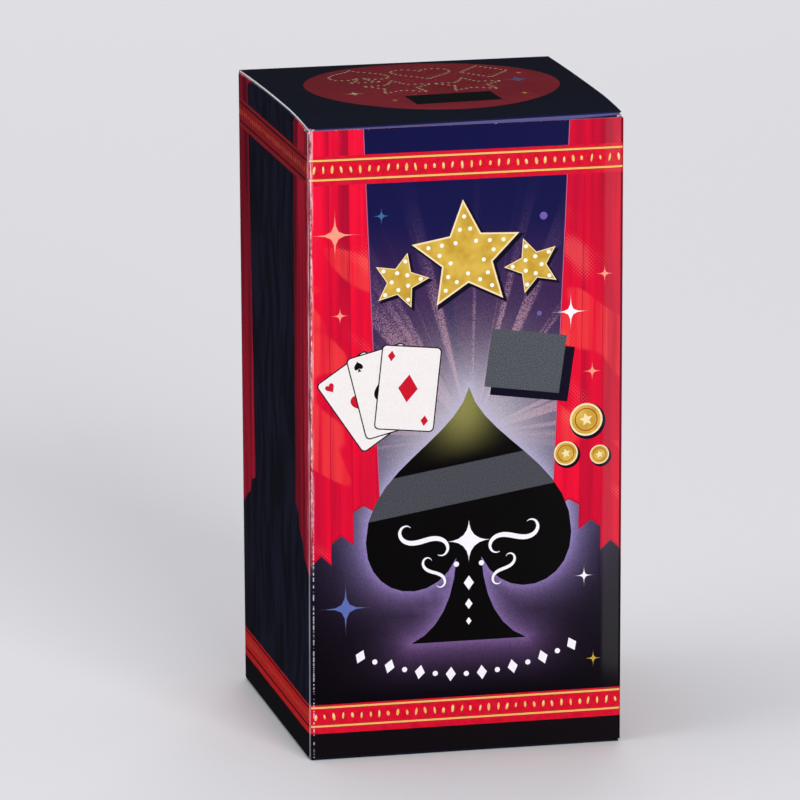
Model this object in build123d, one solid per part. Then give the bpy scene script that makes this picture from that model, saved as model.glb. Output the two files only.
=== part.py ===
"""Retail carton of a coin trick: a tuck-end folding carton with the trick's drawer box and leaflet inside.

Frame: origin at the centre of the base, +Z up, the front panel faces -Y. Sizes are in millimetres.
"""

from build123d import *
import math
import os

# ---------------------------------------------------------------- carton, driving sizes
CARTON_W = 65.0  # along X
CARTON_D = 65.0  # along Y
CARTON_H = 130.0  # from the base to the top edge of the back crease
BOARD = 0.4  # cartonboard caliper
CORNER_R = 0.7  # outer radius of the four upright creases
MITRE_REACH = 3.0  # how far the corner mitres that part the panels reach inwards

STACK_GAP = 0.1  # air between a closed lid and the dust flaps under it
RAW_EDGE_DROP = 0.6  # the front panel's raw edges stop this far short of the lids' outer faces
LID_INSET = 0.5  # each side edge of a lid lies this far inside the carton's side
LID_CROWN = 0.9  # rise of the sprung top lid
CREST_FROM_FRONT = 20.0  # the crown's crest, measured from the front crease
TUCK_BEHIND_FRONT = 0.15  # air between the front panel and the tuck crease
TUCK_LENGTH = 15.0
TUCK_INSET = 1.0  # the tuck flap is this much narrower than the lid on each side
TUCK_LEAN = 10.0  # degrees that a tuck flap leans into the carton
TUCK_CORNER_R = 6.0

DUST_LENGTH = 30.0  # from the side crease to the flap's free end
DUST_REAR_START = 1.5  # clearance from the lid crease, at the side crease
DUST_REAR_TAPER = 0.47  # the rear edge moves forwards this much for each millimetre inwards
DUST_FRONT_GAP = 2.0  # clearance behind the front panel's outer face
DUST_CORNER_R = 4.0

GLUE_FLAP_W = 12.0
GLUE_FLAP_END = 4.0  # the glue flap stops this far short of the top and bottom creases
GLUE_FLAP_TAPER = 3.0

# ---------------------------------------------------------------- coin box, driving sizes
BOX_W = 60.0  # along X
BOX_D = 50.0  # along Y
BOX_Y = 2.5  # its centre lies this far behind the carton's, to leave the tuck flaps room
BOX_BASE_Z = 1.2  # it stands on the bottom dust flaps
SLEEVE_LENGTH = 70.0
WALL = 2.0
SLEEVE_EDGE_R = 2.5
CAP_PLATE = 2.0
CAP_PLUG = 2.0
CAP_PLUG_GAP = 0.05
SLIDE_GAP = 0.3  # air between the tray and the sleeve, each side
TRAY_WALL = 1.6
FACE_T = 2.6
FACE_LIFT = 0.2  # air between the face plate and the sleeve's mouth
KNOB_R = 6.0
KNOB_STEM_R = 2.8
KNOB_STEM_H = 3.0
KNOB_FOOT_R = 4.6
KNOB_FOOT_H = 1.0
SCREW_R = 1.5
SCREW_HEAD_R = 2.8
SCREW_HEAD_H = 1.4
SCREW_INTO_KNOB = 4.5

FLAP_T = 1.2
FLAP_SIDE_GAP = 0.5
FLAP_LENGTH = 30.0
FLAP_END_LIP = 1.6  # finger lip along the flap's free end
FLAP_OFF_FLOOR = 5.0  # the hinge pin's distance from the tray's floor
BARREL_R = 1.8
PIN_R = 0.75
PIN_RUNNING_GAP = 0.05
FELT_T = 0.6
FELT_MARGIN = 0.6
COIN_R = 12.0
COIN_T = 2.0
COIN_RIM_W = 1.2
COIN_RIM_H = 0.25
COIN_GAP = 1.6

# ---------------------------------------------------------------- leaflet
LEAFLET_W = 54.0
LEAFLET_H = 98.0
LEAF_T = 0.25
LEAF_GAP = 0.2
LEAVES = 3
LEAFLET_BEHIND_BOX = 0.8

# ---------------------------------------------------------------- worked out from the sizes above
HALF_W = CARTON_W / 2
HALF_D = CARTON_D / 2
LID_W = CARTON_W - 2 * LID_INSET
TUCK_W = LID_W - 2 * TUCK_INSET
TUCK_CREASE_Y = -HALF_D + BOARD + TUCK_BEHIND_FRONT
DUST_TOP = CARTON_H - BOARD - STACK_GAP  # outer face of the closed top dust flaps

SLEEVE_Z0 = BOX_BASE_Z + CAP_PLATE
SLEEVE_Z1 = SLEEVE_Z0 + SLEEVE_LENGTH
TRAY_W = BOX_W - 2 * (WALL + SLIDE_GAP)
TRAY_D = BOX_D - 2 * (WALL + SLIDE_GAP)
TRAY_Z0 = SLEEVE_Z0 + CAP_PLUG + SLIDE_GAP
TRAY_Z1 = SLEEVE_Z1 + FACE_LIFT
FLOOR_Y = TRAY_D / 2 - TRAY_WALL  # inner face of the tray's floor, which faces -Y
TRAY_INNER_W = TRAY_W - 2 * TRAY_WALL
PIN_Y = FLOOR_Y - FLAP_OFF_FLOOR
PIN_Z = TRAY_Z0 + TRAY_WALL + FLAP_LENGTH + 2.0
FACE_Z1 = TRAY_Z1 + FACE_T


def outward(side, plan_height):
    """Turns a shape drawn for the front side (-Y) to the side named."""
    turns = {"front": 0, "right": 90, "back": 180, "left": 270}
    return Rot(0, 0, turns[side]) * plan_height


def panel_plan(width, depth):
    """One side of the carton's wall seen from above, drawn at the front, with half of each rounded corner."""
    ring = RectangleRounded(width, depth, CORNER_R)
    ring -= RectangleRounded(width - 2 * BOARD, depth - 2 * BOARD, CORNER_R - BOARD)
    half_w, half_d = width / 2, depth / 2
    reach = 1.0  # the mitre runs this far outside the corner
    mitre = Polygon(
        (-half_w - reach, -half_d - reach),
        (half_w + reach, -half_d - reach),
        (half_w - MITRE_REACH, -half_d + MITRE_REACH),
        (-half_w + MITRE_REACH, -half_d + MITRE_REACH),
        align=None,
    )
    return ring & mitre


def wall_panel(side, low, high, mitred):
    """A wall panel from its lower to its upper end. A mitred end is cut at 45 degrees for the flap on its crease."""
    width, depth = (CARTON_W, CARTON_D) if side in ("front", "back") else (CARTON_D, CARTON_W)
    panel = Pos(0, 0, low) * extrude(panel_plan(width, depth), amount=high - low)
    if mitred:
        cut = 2.0  # size of the wedges that shape the ends, larger than the board
        y = -depth / 2
        top = Plane.YZ * Polygon((y, high), (y + cut, high), (y + cut, high - cut), align=None)
        bottom = Plane.YZ * Polygon((y, low), (y + cut, low), (y + cut, low + cut), align=None)
        panel -= extrude(top, amount=width, both=True)
        panel -= extrude(bottom, amount=width, both=True)
    return outward(side, panel)


def glue_flap():
    """The seam flap: it hangs on the back panel's left crease and is glued inside the left panel."""
    x = -HALF_W + BOARD
    y_crease = HALF_D - CORNER_R
    low, high = GLUE_FLAP_END, CARTON_H - GLUE_FLAP_END
    outline = Plane.YZ.offset(x) * Polygon(
        (y_crease, low),
        (y_crease, high),
        (y_crease - GLUE_FLAP_W, high - GLUE_FLAP_TAPER),
        (y_crease - GLUE_FLAP_W, low + GLUE_FLAP_TAPER),
        align=None,
    )
    return extrude(outline, amount=BOARD)


def along(point, direction, distance):
    """The point at a distance from another, in the Y-Z plane."""
    return (point[0] + direction[0] * distance, point[1] + direction[1] * distance)


def unit(y, z):
    size = math.hypot(y, z)
    return (y / size, z / size)


def tuck_direction():
    """From the tuck crease down the tuck flap, as (y, z)."""
    lean = math.radians(TUCK_LEAN)
    return (math.sin(lean), -math.cos(lean))


def tuck_mitre(lid_slope):
    """Where the inner faces of lid and tuck flap meet, from the tuck crease, as (y, z)."""
    lid = (math.cos(lid_slope), math.sin(lid_slope))
    tuck = tuck_direction()
    middle = unit(lid[0] + tuck[0], lid[1] + tuck[1])
    half_angle = math.acos(lid[0] * middle[0] + lid[1] * middle[1])
    return along((0, 0), middle, BOARD / math.sin(half_angle))


def crown_arc(reach, rise):
    """Radius of an arc that is level at the crest and falls by rise over reach."""
    return (reach**2 + rise**2) / (2 * rise)


def arc_point(radius, crest, distance, inset):
    """A point of a crown arc, a distance from the crest along Y, inset below the outer face."""
    angle = math.asin(distance / radius)
    r = radius - inset
    return (crest[0] + r * math.sin(angle), crest[1] - radius + r * math.cos(angle))


def top_lid_panel():
    """The top lid: a sprung sheet that rises from the back crease to a crest, then falls to the tuck crease."""
    back = (HALF_D, CARTON_H)
    front = (TUCK_CREASE_Y, CARTON_H)
    crest = (TUCK_CREASE_Y + CREST_FROM_FRONT, CARTON_H + LID_CROWN)
    back_reach = back[0] - crest[0]
    r_back = crown_arc(back_reach, LID_CROWN)
    r_front = crown_arc(CREST_FROM_FRONT, LID_CROWN)
    front_slope = math.asin(CREST_FROM_FRONT / r_front)
    mitre = tuck_mitre(front_slope)
    front_inner = (front[0] + mitre[0], front[1] + mitre[1])
    back_inner = (HALF_D - BOARD, CARTON_H - BOARD)
    crest_inner = (crest[0], crest[1] - BOARD)
    with BuildSketch(Plane.YZ) as profile:
        with BuildLine():
            ThreePointArc(back, arc_point(r_back, crest, back_reach / 2, 0), crest)
            ThreePointArc(crest, arc_point(r_front, crest, -CREST_FROM_FRONT / 2, 0), front)
            Line(front, front_inner)
            ThreePointArc(
                front_inner, arc_point(r_front, crest, -CREST_FROM_FRONT / 2, BOARD), crest_inner
            )
            ThreePointArc(crest_inner, arc_point(r_back, crest, back_reach / 2, BOARD), back_inner)
            Line(back_inner, back)
        make_face()
    return extrude(profile.sketch, amount=LID_W / 2, both=True)


def bottom_lid_panel():
    """The bottom lid: flat, because the carton stands on it. Drawn at the top, then turned over."""
    mitre = tuck_mitre(0.0)
    front = (TUCK_CREASE_Y, CARTON_H)
    outline = Plane.YZ * Polygon(
        (HALF_D, CARTON_H),
        front,
        (front[0] + mitre[0], front[1] + mitre[1]),
        (HALF_D - BOARD, CARTON_H - BOARD),
        align=None,
    )
    return to_bottom(extrude(outline, amount=LID_W / 2, both=True))


def to_bottom(shape):
    """Mirrors a shape of the top closure to the bottom of the carton."""
    return mirror(shape, about=Plane.XY.offset(CARTON_H / 2))


def tuck_flap(lid_slope):
    """A tuck flap at the top closure, with rounded corners, leaning into the carton."""
    crease = (TUCK_CREASE_Y, CARTON_H)
    down = tuck_direction()
    inwards = (-down[1], down[0])
    mitre = tuck_mitre(lid_slope)
    end = along(crease, down, TUCK_LENGTH)
    outline = Plane.YZ * Polygon(
        crease,
        end,
        along(end, inwards, BOARD),
        (crease[0] + mitre[0], crease[1] + mitre[1]),
        align=None,
    )
    flap = extrude(outline, amount=TUCK_W / 2, both=True)
    corners = [
        e
        for e in flap.edges()
        if e.length < 2 * BOARD and abs(e.center().X) > TUCK_W / 2 - 0.01
        and e.center().Z < CARTON_H - TUCK_LENGTH / 2
    ]
    return fillet(corners, TUCK_CORNER_R)


def dust_flap(side):
    """A top dust flap, folded flat under the lid. Its rear edge tapers to stay clear of the opening lid."""
    rear = HALF_D - DUST_REAR_START
    front = -HALF_D + DUST_FRONT_GAP
    rear_end = rear - DUST_REAR_TAPER * DUST_LENGTH
    outline = Polygon(
        (-HALF_W, front),
        (-HALF_W + DUST_LENGTH, front),
        (-HALF_W + DUST_LENGTH, rear_end),
        (-HALF_W, rear),
        align=None,
    )
    flap = Pos(0, 0, DUST_TOP - BOARD) * extrude(outline, amount=BOARD)
    ends = [e for e in flap.edges().filter_by(Axis.Z) if e.center().X > -HALF_W + DUST_LENGTH / 2]
    flap = fillet(ends, DUST_CORNER_R)
    wedge = Plane.XZ * Polygon(
        (-HALF_W, DUST_TOP),
        (-HALF_W, DUST_TOP - BOARD),
        (-HALF_W + BOARD, DUST_TOP - BOARD),
        align=None,
    )
    flap -= extrude(wedge, amount=CARTON_D, both=True)
    return flap if side == "left" else mirror(flap, about=Plane.YZ)


# ---------------------------------------------------------------- coin box, drawn about its own centre line
def sleeve():
    """The coin box's outer sleeve, open at both ends."""
    outer = RectangleRounded(BOX_W, BOX_D, SLEEVE_EDGE_R)
    inner = RectangleRounded(BOX_W - 2 * WALL, BOX_D - 2 * WALL, SLEEVE_EDGE_R - WALL)
    return Pos(0, 0, SLEEVE_Z0) * extrude(outer - inner, amount=SLEEVE_LENGTH)


def end_cap():
    """The cap that closes the sleeve's lower end, with a plug that fits inside it."""
    plate = Pos(0, 0, BOX_BASE_Z) * extrude(
        RectangleRounded(BOX_W, BOX_D, SLEEVE_EDGE_R), amount=CAP_PLATE
    )
    inset = WALL + CAP_PLUG_GAP
    plug = Pos(0, 0, SLEEVE_Z0) * extrude(
        RectangleRounded(BOX_W - 2 * inset, BOX_D - 2 * inset, SLEEVE_EDGE_R - WALL), amount=CAP_PLUG
    )
    return plate + plug


def tray():
    """The drawer's tray: a tub that opens towards -Y, closed at the top by the face plate."""
    length = TRAY_Z1 - TRAY_Z0
    body = Pos(0, 0, TRAY_Z0 + length / 2) * Box(TRAY_W, TRAY_D, length)
    hollow_z0 = TRAY_Z0 + TRAY_WALL
    hollow_h = TRAY_Z1 - TRAY_WALL - hollow_z0
    hollow_y0 = -TRAY_D / 2
    hollow_d = FLOOR_Y - hollow_y0
    body -= Pos(0, hollow_y0 + hollow_d / 2, hollow_z0 + hollow_h / 2) * Box(
        TRAY_INNER_W, hollow_d, hollow_h
    )
    body -= Pos(0, PIN_Y, PIN_Z) * Rot(0, 90, 0) * Cylinder(PIN_R, TRAY_W)
    body -= Pos(0, 0, TRAY_Z1) * Cylinder(SCREW_R, 4 * TRAY_WALL)
    return body


def face_plate():
    """The drawer's face, glued on the tray, with the knob's screw hole and a softened outer edge."""
    plate = Pos(0, 0, TRAY_Z1) * extrude(RectangleRounded(BOX_W, BOX_D, SLEEVE_EDGE_R), amount=FACE_T)
    plate = fillet(plate.faces().sort_by(Axis.Z)[-1].edges(), 0.8)
    return plate - Pos(0, 0, TRAY_Z1) * Cylinder(SCREW_R, 4 * FACE_T)


def knob():
    """A turned knob: foot, stem and flattened ball, with a blind hole for its screw."""
    ball_centre = FACE_Z1 + KNOB_FOOT_H + KNOB_STEM_H + KNOB_R * 0.75
    body = Pos(0, 0, FACE_Z1 + KNOB_FOOT_H / 2) * Cylinder(KNOB_FOOT_R, KNOB_FOOT_H)
    stem_h = ball_centre - FACE_Z1 - KNOB_FOOT_H
    body += Pos(0, 0, FACE_Z1 + KNOB_FOOT_H + stem_h / 2) * Cylinder(KNOB_STEM_R, stem_h)
    body += Pos(0, 0, ball_centre) * Sphere(KNOB_R)
    body -= Pos(0, 0, FACE_Z1 + SCREW_INTO_KNOB / 2) * Cylinder(SCREW_R, SCREW_INTO_KNOB)
    return body


def knob_screw():
    """Pan-head screw from inside the tray, through tray and face plate, into the knob."""
    head_z = TRAY_Z1 - TRAY_WALL - SCREW_HEAD_H
    shank_h = TRAY_WALL + FACE_T + SCREW_INTO_KNOB
    head = Pos(0, 0, head_z + SCREW_HEAD_H / 2) * Cylinder(SCREW_HEAD_R, SCREW_HEAD_H)
    head = fillet(head.faces().sort_by(Axis.Z)[0].edges(), 0.6)
    slot_w, slot_deep = 0.7, 0.7
    head -= Pos(0, 0, head_z + slot_deep / 2) * Box(2 * SCREW_HEAD_R, slot_w, slot_deep)
    head -= Pos(0, 0, head_z + slot_deep / 2) * Box(slot_w, 2 * SCREW_HEAD_R, slot_deep)
    return head + Pos(0, 0, TRAY_Z1 - TRAY_WALL + shank_h / 2) * Cylinder(SCREW_R, shank_h)


def secret_flap():
    """The flap that hides the coins: a plate with a hinge barrel at its top and a finger lip at its free end."""
    width = TRAY_INNER_W - 2 * FLAP_SIDE_GAP
    barrel = Pos(0, PIN_Y, PIN_Z) * Rot(0, 90, 0) * Cylinder(BARREL_R, width)
    plate_y = PIN_Y - BARREL_R + FLAP_T / 2
    plate = Pos(0, plate_y, PIN_Z - FLAP_LENGTH / 2) * Box(width, FLAP_T, FLAP_LENGTH)
    lip = Pos(0, plate_y - FLAP_T, PIN_Z - FLAP_LENGTH + FLAP_END_LIP / 2) * Box(
        width / 3, FLAP_T, FLAP_END_LIP
    )
    bore = Pos(0, PIN_Y, PIN_Z) * Rot(0, 90, 0) * Cylinder(PIN_R + PIN_RUNNING_GAP, width + 1)
    return plate + barrel + lip - bore


def flap_pin():
    """The steel hinge pin, held in the tray's two side walls."""
    return Pos(0, PIN_Y, PIN_Z) * Rot(0, 90, 0) * Cylinder(PIN_R, TRAY_W)


def felt_pad():
    """Felt on the tray's floor behind the coins, so that they don't rattle."""
    height = FLAP_LENGTH - 2 * FELT_MARGIN - BARREL_R
    width = TRAY_INNER_W - 2 * FELT_MARGIN
    z0 = TRAY_Z0 + TRAY_WALL
    return Pos(0, FLOOR_Y - FELT_T / 2, z0 + height / 2) * Box(width, FELT_T, height)


def coin(x):
    """One coin on edge against the felt, with a raised rim on both faces."""
    y = FLOOR_Y - FELT_T - COIN_T / 2
    z = TRAY_Z0 + TRAY_WALL + COIN_R
    blank = Cylinder(COIN_R, COIN_T)
    for face in (1, -1):
        field = Pos(0, 0, face * COIN_T / 2) * Cylinder(COIN_R - COIN_RIM_W, 2 * COIN_RIM_H)
        blank -= field
    return Pos(x, y, z) * Rot(90, 0, 0) * blank


def coins():
    offset = COIN_R + COIN_GAP / 2
    return Compound(children=[coin(-offset), coin(offset)])


def leaflet():
    """The instruction sheet, folded in a Z, standing between the coin box and the back panel."""
    y0 = BOX_Y + BOX_D / 2 + LEAFLET_BEHIND_BOX
    pitch = LEAF_T + LEAF_GAP
    sheet = None
    for n in range(LEAVES):
        leaf = Pos(0, y0 + n * pitch + LEAF_T / 2) * Rectangle(LEAFLET_W, LEAF_T)
        sheet = leaf if sheet is None else sheet + leaf
        if n < LEAVES - 1:
            side = 1 if n % 2 == 0 else -1
            x = side * (LEAFLET_W - LEAF_T) / 2
            sheet += Pos(x, y0 + n * pitch + (pitch + LEAF_T) / 2) * Rectangle(LEAF_T, pitch + LEAF_T)
    return Pos(0, 0, BOX_BASE_Z) * extrude(sheet, amount=LEAFLET_H)


def coin_box():
    """The coin box's pieces, moved from the box's own centre line to its place in the carton."""
    pieces = {
        "coin_box_sleeve": sleeve(),
        "coin_box_end_cap": end_cap(),
        "drawer_tray": tray(),
        "drawer_face_plate": face_plate(),
        "drawer_knob": knob(),
        "knob_screw": knob_screw(),
        "drawer_felt_pad": felt_pad(),
        "secret_flap": secret_flap(),
        "flap_hinge_pin": flap_pin(),
        "coins": coins(),
    }
    return {node: Pos(0, BOX_Y, 0) * piece for node, piece in pieces.items()}


def build():
    front_slope = math.asin(CREST_FROM_FRONT / crown_arc(CREST_FROM_FRONT, LID_CROWN))
    side_low, side_high = CARTON_H - DUST_TOP, DUST_TOP
    raw_low, raw_high = RAW_EDGE_DROP, CARTON_H - RAW_EDGE_DROP
    return {
        "front_panel": wall_panel("front", raw_low, raw_high, mitred=False),
        "back_panel": wall_panel("back", 0, CARTON_H, mitred=True),
        "left_panel": wall_panel("left", side_low, side_high, mitred=True),
        "right_panel": wall_panel("right", side_low, side_high, mitred=True),
        "glue_flap": glue_flap(),
        "top_lid_panel": top_lid_panel(),
        "top_tuck_flap": tuck_flap(front_slope),
        "top_dust_flap_left": dust_flap("left"),
        "top_dust_flap_right": dust_flap("right"),
        "bottom_lid_panel": bottom_lid_panel(),
        "bottom_tuck_flap": to_bottom(tuck_flap(0.0)),
        "bottom_dust_flap_left": to_bottom(dust_flap("left")),
        "bottom_dust_flap_right": to_bottom(dust_flap("right")),
        "instruction_leaflet": leaflet(),
        **coin_box(),
    }


os.makedirs("parts", exist_ok=True)
for node, shape in build().items():
    export_step(shape, f"parts/{node}.step")
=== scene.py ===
"""The looks of a printed folding carton, and of the coin box and leaflet inside it.

Each printed sheet is drawn flat, in millimetres, as inks painted one over the other. The sheet is cut
along the edges of its inks, bent to its place on the carton and given the board's thickness.
"""

import math

import bpy
import numpy as np
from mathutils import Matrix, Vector
from mathutils.geometry import delaunay_2d_cdt


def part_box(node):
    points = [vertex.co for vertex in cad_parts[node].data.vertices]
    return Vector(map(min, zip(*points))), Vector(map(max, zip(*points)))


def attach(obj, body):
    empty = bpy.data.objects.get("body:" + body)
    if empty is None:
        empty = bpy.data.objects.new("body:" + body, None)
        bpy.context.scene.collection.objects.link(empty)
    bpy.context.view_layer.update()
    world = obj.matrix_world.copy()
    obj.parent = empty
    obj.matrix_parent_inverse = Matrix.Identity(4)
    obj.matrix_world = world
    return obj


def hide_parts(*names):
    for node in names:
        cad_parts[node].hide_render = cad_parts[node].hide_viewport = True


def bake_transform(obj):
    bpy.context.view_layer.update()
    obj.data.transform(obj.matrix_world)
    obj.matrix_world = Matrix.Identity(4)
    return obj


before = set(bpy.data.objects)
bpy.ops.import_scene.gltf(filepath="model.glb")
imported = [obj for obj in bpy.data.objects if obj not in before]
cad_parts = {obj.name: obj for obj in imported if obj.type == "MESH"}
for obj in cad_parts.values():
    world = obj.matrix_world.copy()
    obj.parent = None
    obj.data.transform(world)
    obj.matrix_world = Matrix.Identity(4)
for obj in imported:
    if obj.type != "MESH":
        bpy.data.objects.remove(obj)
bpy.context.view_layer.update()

MM = 0.001

# ---------------- sizes in millimetres, from the frame
BACK_LOW, BACK_HIGH = (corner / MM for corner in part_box("back_panel"))
FRONT_LOW, FRONT_HIGH = (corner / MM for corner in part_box("front_panel"))
SIDE_LOW, SIDE_HIGH = (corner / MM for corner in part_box("left_panel"))
LID_LOW, LID_HIGH = (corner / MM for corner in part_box("top_lid_panel"))
TUCK_LOW, TUCK_HIGH = (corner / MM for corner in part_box("top_tuck_flap"))
DUST_LOW, DUST_HIGH = (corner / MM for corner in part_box("top_dust_flap_left"))

HALF = -SIDE_LOW.x  # half the carton's width, which is also half its depth
HEIGHT = BACK_HIGH.z
BOARD = DUST_HIGH.z - DUST_LOW.z

CREASE_R = 0.7
ROLL_LENGTH = 4.0  # the board starts to roll this far before a crease
ROLL_ANGLE = 0.06  # radians that it has turned by then
FRONT_RISE = 0.45  # the front panel's raw top edge stands this much above its solid's
CREST_Y = LID_LOW.y + 20.0  # the lid's crown is highest here
NOSE_R = 0.4  # the rounded crease between the lid and its tuck flap
TUCK_LEAN = math.radians(10.0)
TUCK_CORNER_R = 6.0
RIGHT_LIFT = 0.85  # the lid's front right corner stands this much proud
LIFT_FROM_X = 8.0
FLARE = 0.024  # the tube is this share wider at its top rear, where the flaps under the lid spring it open
DUST_TAPER = 0.47  # a dust flap's rear edge runs forwards this much for each millimetre inwards
DUST_CORNER_R = 4.0
DUST_SETBACK = 1.0  # room for the tuck flap to fold inwards under the closed lid
DUST_DROOP = 0.02
SPRING = 7.0  # how steeply the dust flaps leave their creases
NEAR_STRIPE, FAR_STRIPE = 12.4, 12.2  # how wide a side wall's maroon stripes are at the top, front and rear
PRINT_BLEED = 2.5  # the walls' print runs on over the dust flaps' creases
UNDER_LID = 0.06  # air between the sprung dust flaps and the lid
CROSSWAYS = 26  # pieces of a fold line on a sheet that also bends along the line
OVER = 1.0  # paint and fold lines that reach a sheet's edge run on past it by this much

# ---------------- the print's layout, in millimetres
BAND_TOP = (118.7, 119.85, 123.8, 124.7)  # the upper band's lower edge, two lines and upper edge
BAND_BOTTOM = (5.6, 7.15, 11.05, 11.65)
LINE_W = 0.40
BEAD_PITCH = 1.9
HEM = 41.0  # where the hanging stripes at the front panel's edges end
GLOW_CENTRE = (1.0, 66.0)  # where the rays start, on the front
SPADE_CENTRE = (0.5, 48.0)
SPADE_SIZE = 26.0
DISC_R = 25.8
DISC_CENTRE = (1.45, 4.6)  # from the lid's middle
WEAR_CHANGES = (36.0, 60.0)  # between these heights the wear of the creases changes from lines to scratches


# ---------------- shader arithmetic
def linear(colour):
    """A colour given as 0 to 255 on a screen, as the shader needs it."""
    parts = [c / 255 for c in colour]
    return [p / 12.92 if p <= 0.04045 else ((p + 0.055) / 1.055) ** 2.4 for p in parts] + [1.0]


def feed(slot, value):
    """Joins a Value to a socket, or sets the socket to a plain number or colour."""
    if isinstance(value, Value):
        value.tree.links.new(value.socket, slot)
    else:
        slot.default_value = value


def settle(node, values):
    """Feeds a node's inputs by their names."""
    for name, value in values.items():
        feed(node.inputs[name], value)


class Value:
    """A number or colour that shader nodes work out, written as ordinary arithmetic."""

    def __init__(self, tree, socket):
        self.tree, self.socket = tree, socket

    def calculate(self, operation, *others):
        node = self.tree.nodes.new("ShaderNodeMath")
        node.operation = operation
        for slot, value in zip(node.inputs, (self, *others)):
            feed(slot, value)
        return Value(self.tree, node.outputs[0])

    def __add__(self, other):
        return self.calculate("ADD", other)

    def __sub__(self, other):
        return self.calculate("SUBTRACT", other)

    def __mul__(self, other):
        return self.calculate("MULTIPLY", other)

    def __truediv__(self, other):
        return self.calculate("DIVIDE", other)

    def size(self):
        return self.calculate("ABSOLUTE")

    def root(self):
        return self.calculate("SQRT")

    def fraction(self):
        return self.calculate("FRACT")

    def sine(self):
        return self.calculate("SINE")

    def at_least(self, other):
        return self.calculate("MAXIMUM", other)

    def fade(self, length):
        """1 at nought, falling away over that length."""
        return (self * (-1.0 / length)).calculate("EXPONENT")

    def bell(self, centre, width):
        """1 at the centre, falling away over that width on both sides."""
        away = (self - centre) * (1.0 / width)
        return (away * away).fade(1.0)

    def rise(self, low, high):
        """0 up to low, 1 from high on and a smooth step between. With low above high it falls instead."""
        node = self.tree.nodes.new("ShaderNodeMapRange")
        node.interpolation_type = "SMOOTHSTEP"
        settle(node, {"Value": self, "From Min": min(low, high), "From Max": max(low, high)})
        settle(node, {"To Min": float(low > high), "To Max": float(low < high)})
        return Value(self.tree, node.outputs["Result"])


def socket_of(sockets, identifier):
    return next(s for s in sockets if s.identifier == identifier)


class Brush:
    """What an ink is worked out from: the place on the part, in millimetres at rest, and noise over it."""

    def __init__(self, tree):
        self.tree = tree
        coordinates = tree.nodes.new("ShaderNodeTexCoord")
        scaled = tree.nodes.new("ShaderNodeVectorMath")
        scaled.operation = "SCALE"
        scaled.inputs["Scale"].default_value = 1 / MM
        tree.links.new(coordinates.outputs["Object"], scaled.inputs[0])
        self.x, self.y, self.z = self.split(scaled.outputs[0])
        self.upward = self.split(coordinates.outputs["Normal"])[2]

    def split(self, socket):
        node = self.tree.nodes.new("ShaderNodeSeparateXYZ")
        self.tree.links.new(socket, node.inputs[0])
        return [Value(self.tree, out) for out in node.outputs]

    def noise(self, x, y, z=0.0, detail=2.0, roughness=0.5, distortion=0.0):
        """Noise about one unit coarse, from 0 to 1."""
        place = self.tree.nodes.new("ShaderNodeCombineXYZ")
        for slot, value in zip(place.inputs, (x, y, z)):
            feed(slot, value)
        node = self.tree.nodes.new("ShaderNodeTexNoise")
        self.tree.links.new(place.outputs[0], node.inputs["Vector"])
        settle(node, {"Scale": 1.0, "Detail": detail, "Roughness": roughness, "Distortion": distortion})
        return Value(self.tree, node.outputs["Fac"])

    def all_over(self, fineness, detail=2.0, roughness=0.5):
        """Noise of that many waves a millimetre, all over the part."""
        return self.noise(self.x * fineness, self.y * fineness, self.z * fineness, detail, roughness)

    def mix(self, share, first, second):
        """The first colour where share is 0, the second where it is 1."""
        node = self.tree.nodes.new("ShaderNodeMix")
        node.data_type, node.clamp_factor = "RGBA", True
        feed(node.inputs["Factor"], share)
        for side, colour in (("A_Color", first), ("B_Color", second)):
            feed(socket_of(node.inputs, side), colour if isinstance(colour, Value) else linear(colour))
        return Value(self.tree, socket_of(node.outputs, "Result_Color"))

    def ramp(self, value, *stops):
        """A colour read off stops of (place, colour)."""
        node = self.tree.nodes.new("ShaderNodeValToRGB")
        settle(node, {"Fac": value})
        elements = node.color_ramp.elements
        while len(elements) < len(stops):
            elements.new(0.5)
        for element, (place, colour) in zip(elements, stops):
            element.position, element.color = place, linear(colour)
        return Value(self.tree, node.outputs["Color"])

    def attribute(self, name):
        node = self.tree.nodes.new("ShaderNodeAttribute")
        node.attribute_name = name
        return Value(self.tree, node.outputs["Fac"])

    def distance(self, u, v, centre):
        du, dv = u - centre[0], v - centre[1]
        return (du * du + dv * dv).root()

    def halftone(self, u, v, pitch, amount):
        """Screen dots on a grid at 45 degrees, larger where amount is larger."""
        across = ((u + v) * (0.7071 / pitch)).fraction() - 0.5
        along = ((u - v) * (0.7071 / pitch)).fraction() - 0.5
        away = (across * across + along * along).root()
        return (amount * 0.62 - away).rise(-0.05, 0.10)


# ---------------- inks: each gives a colour for the place
def fabric_folds(b, u, *shades):
    """Soft upright folds across a hanging stripe, from four shades."""
    folds = b.noise(u * 0.36, b.z * 0.012, 3.0, detail=3.0, roughness=0.5, distortion=0.3)
    return b.ramp(folds, *zip((0.32, 0.44, 0.56, 0.70), shades))


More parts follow.
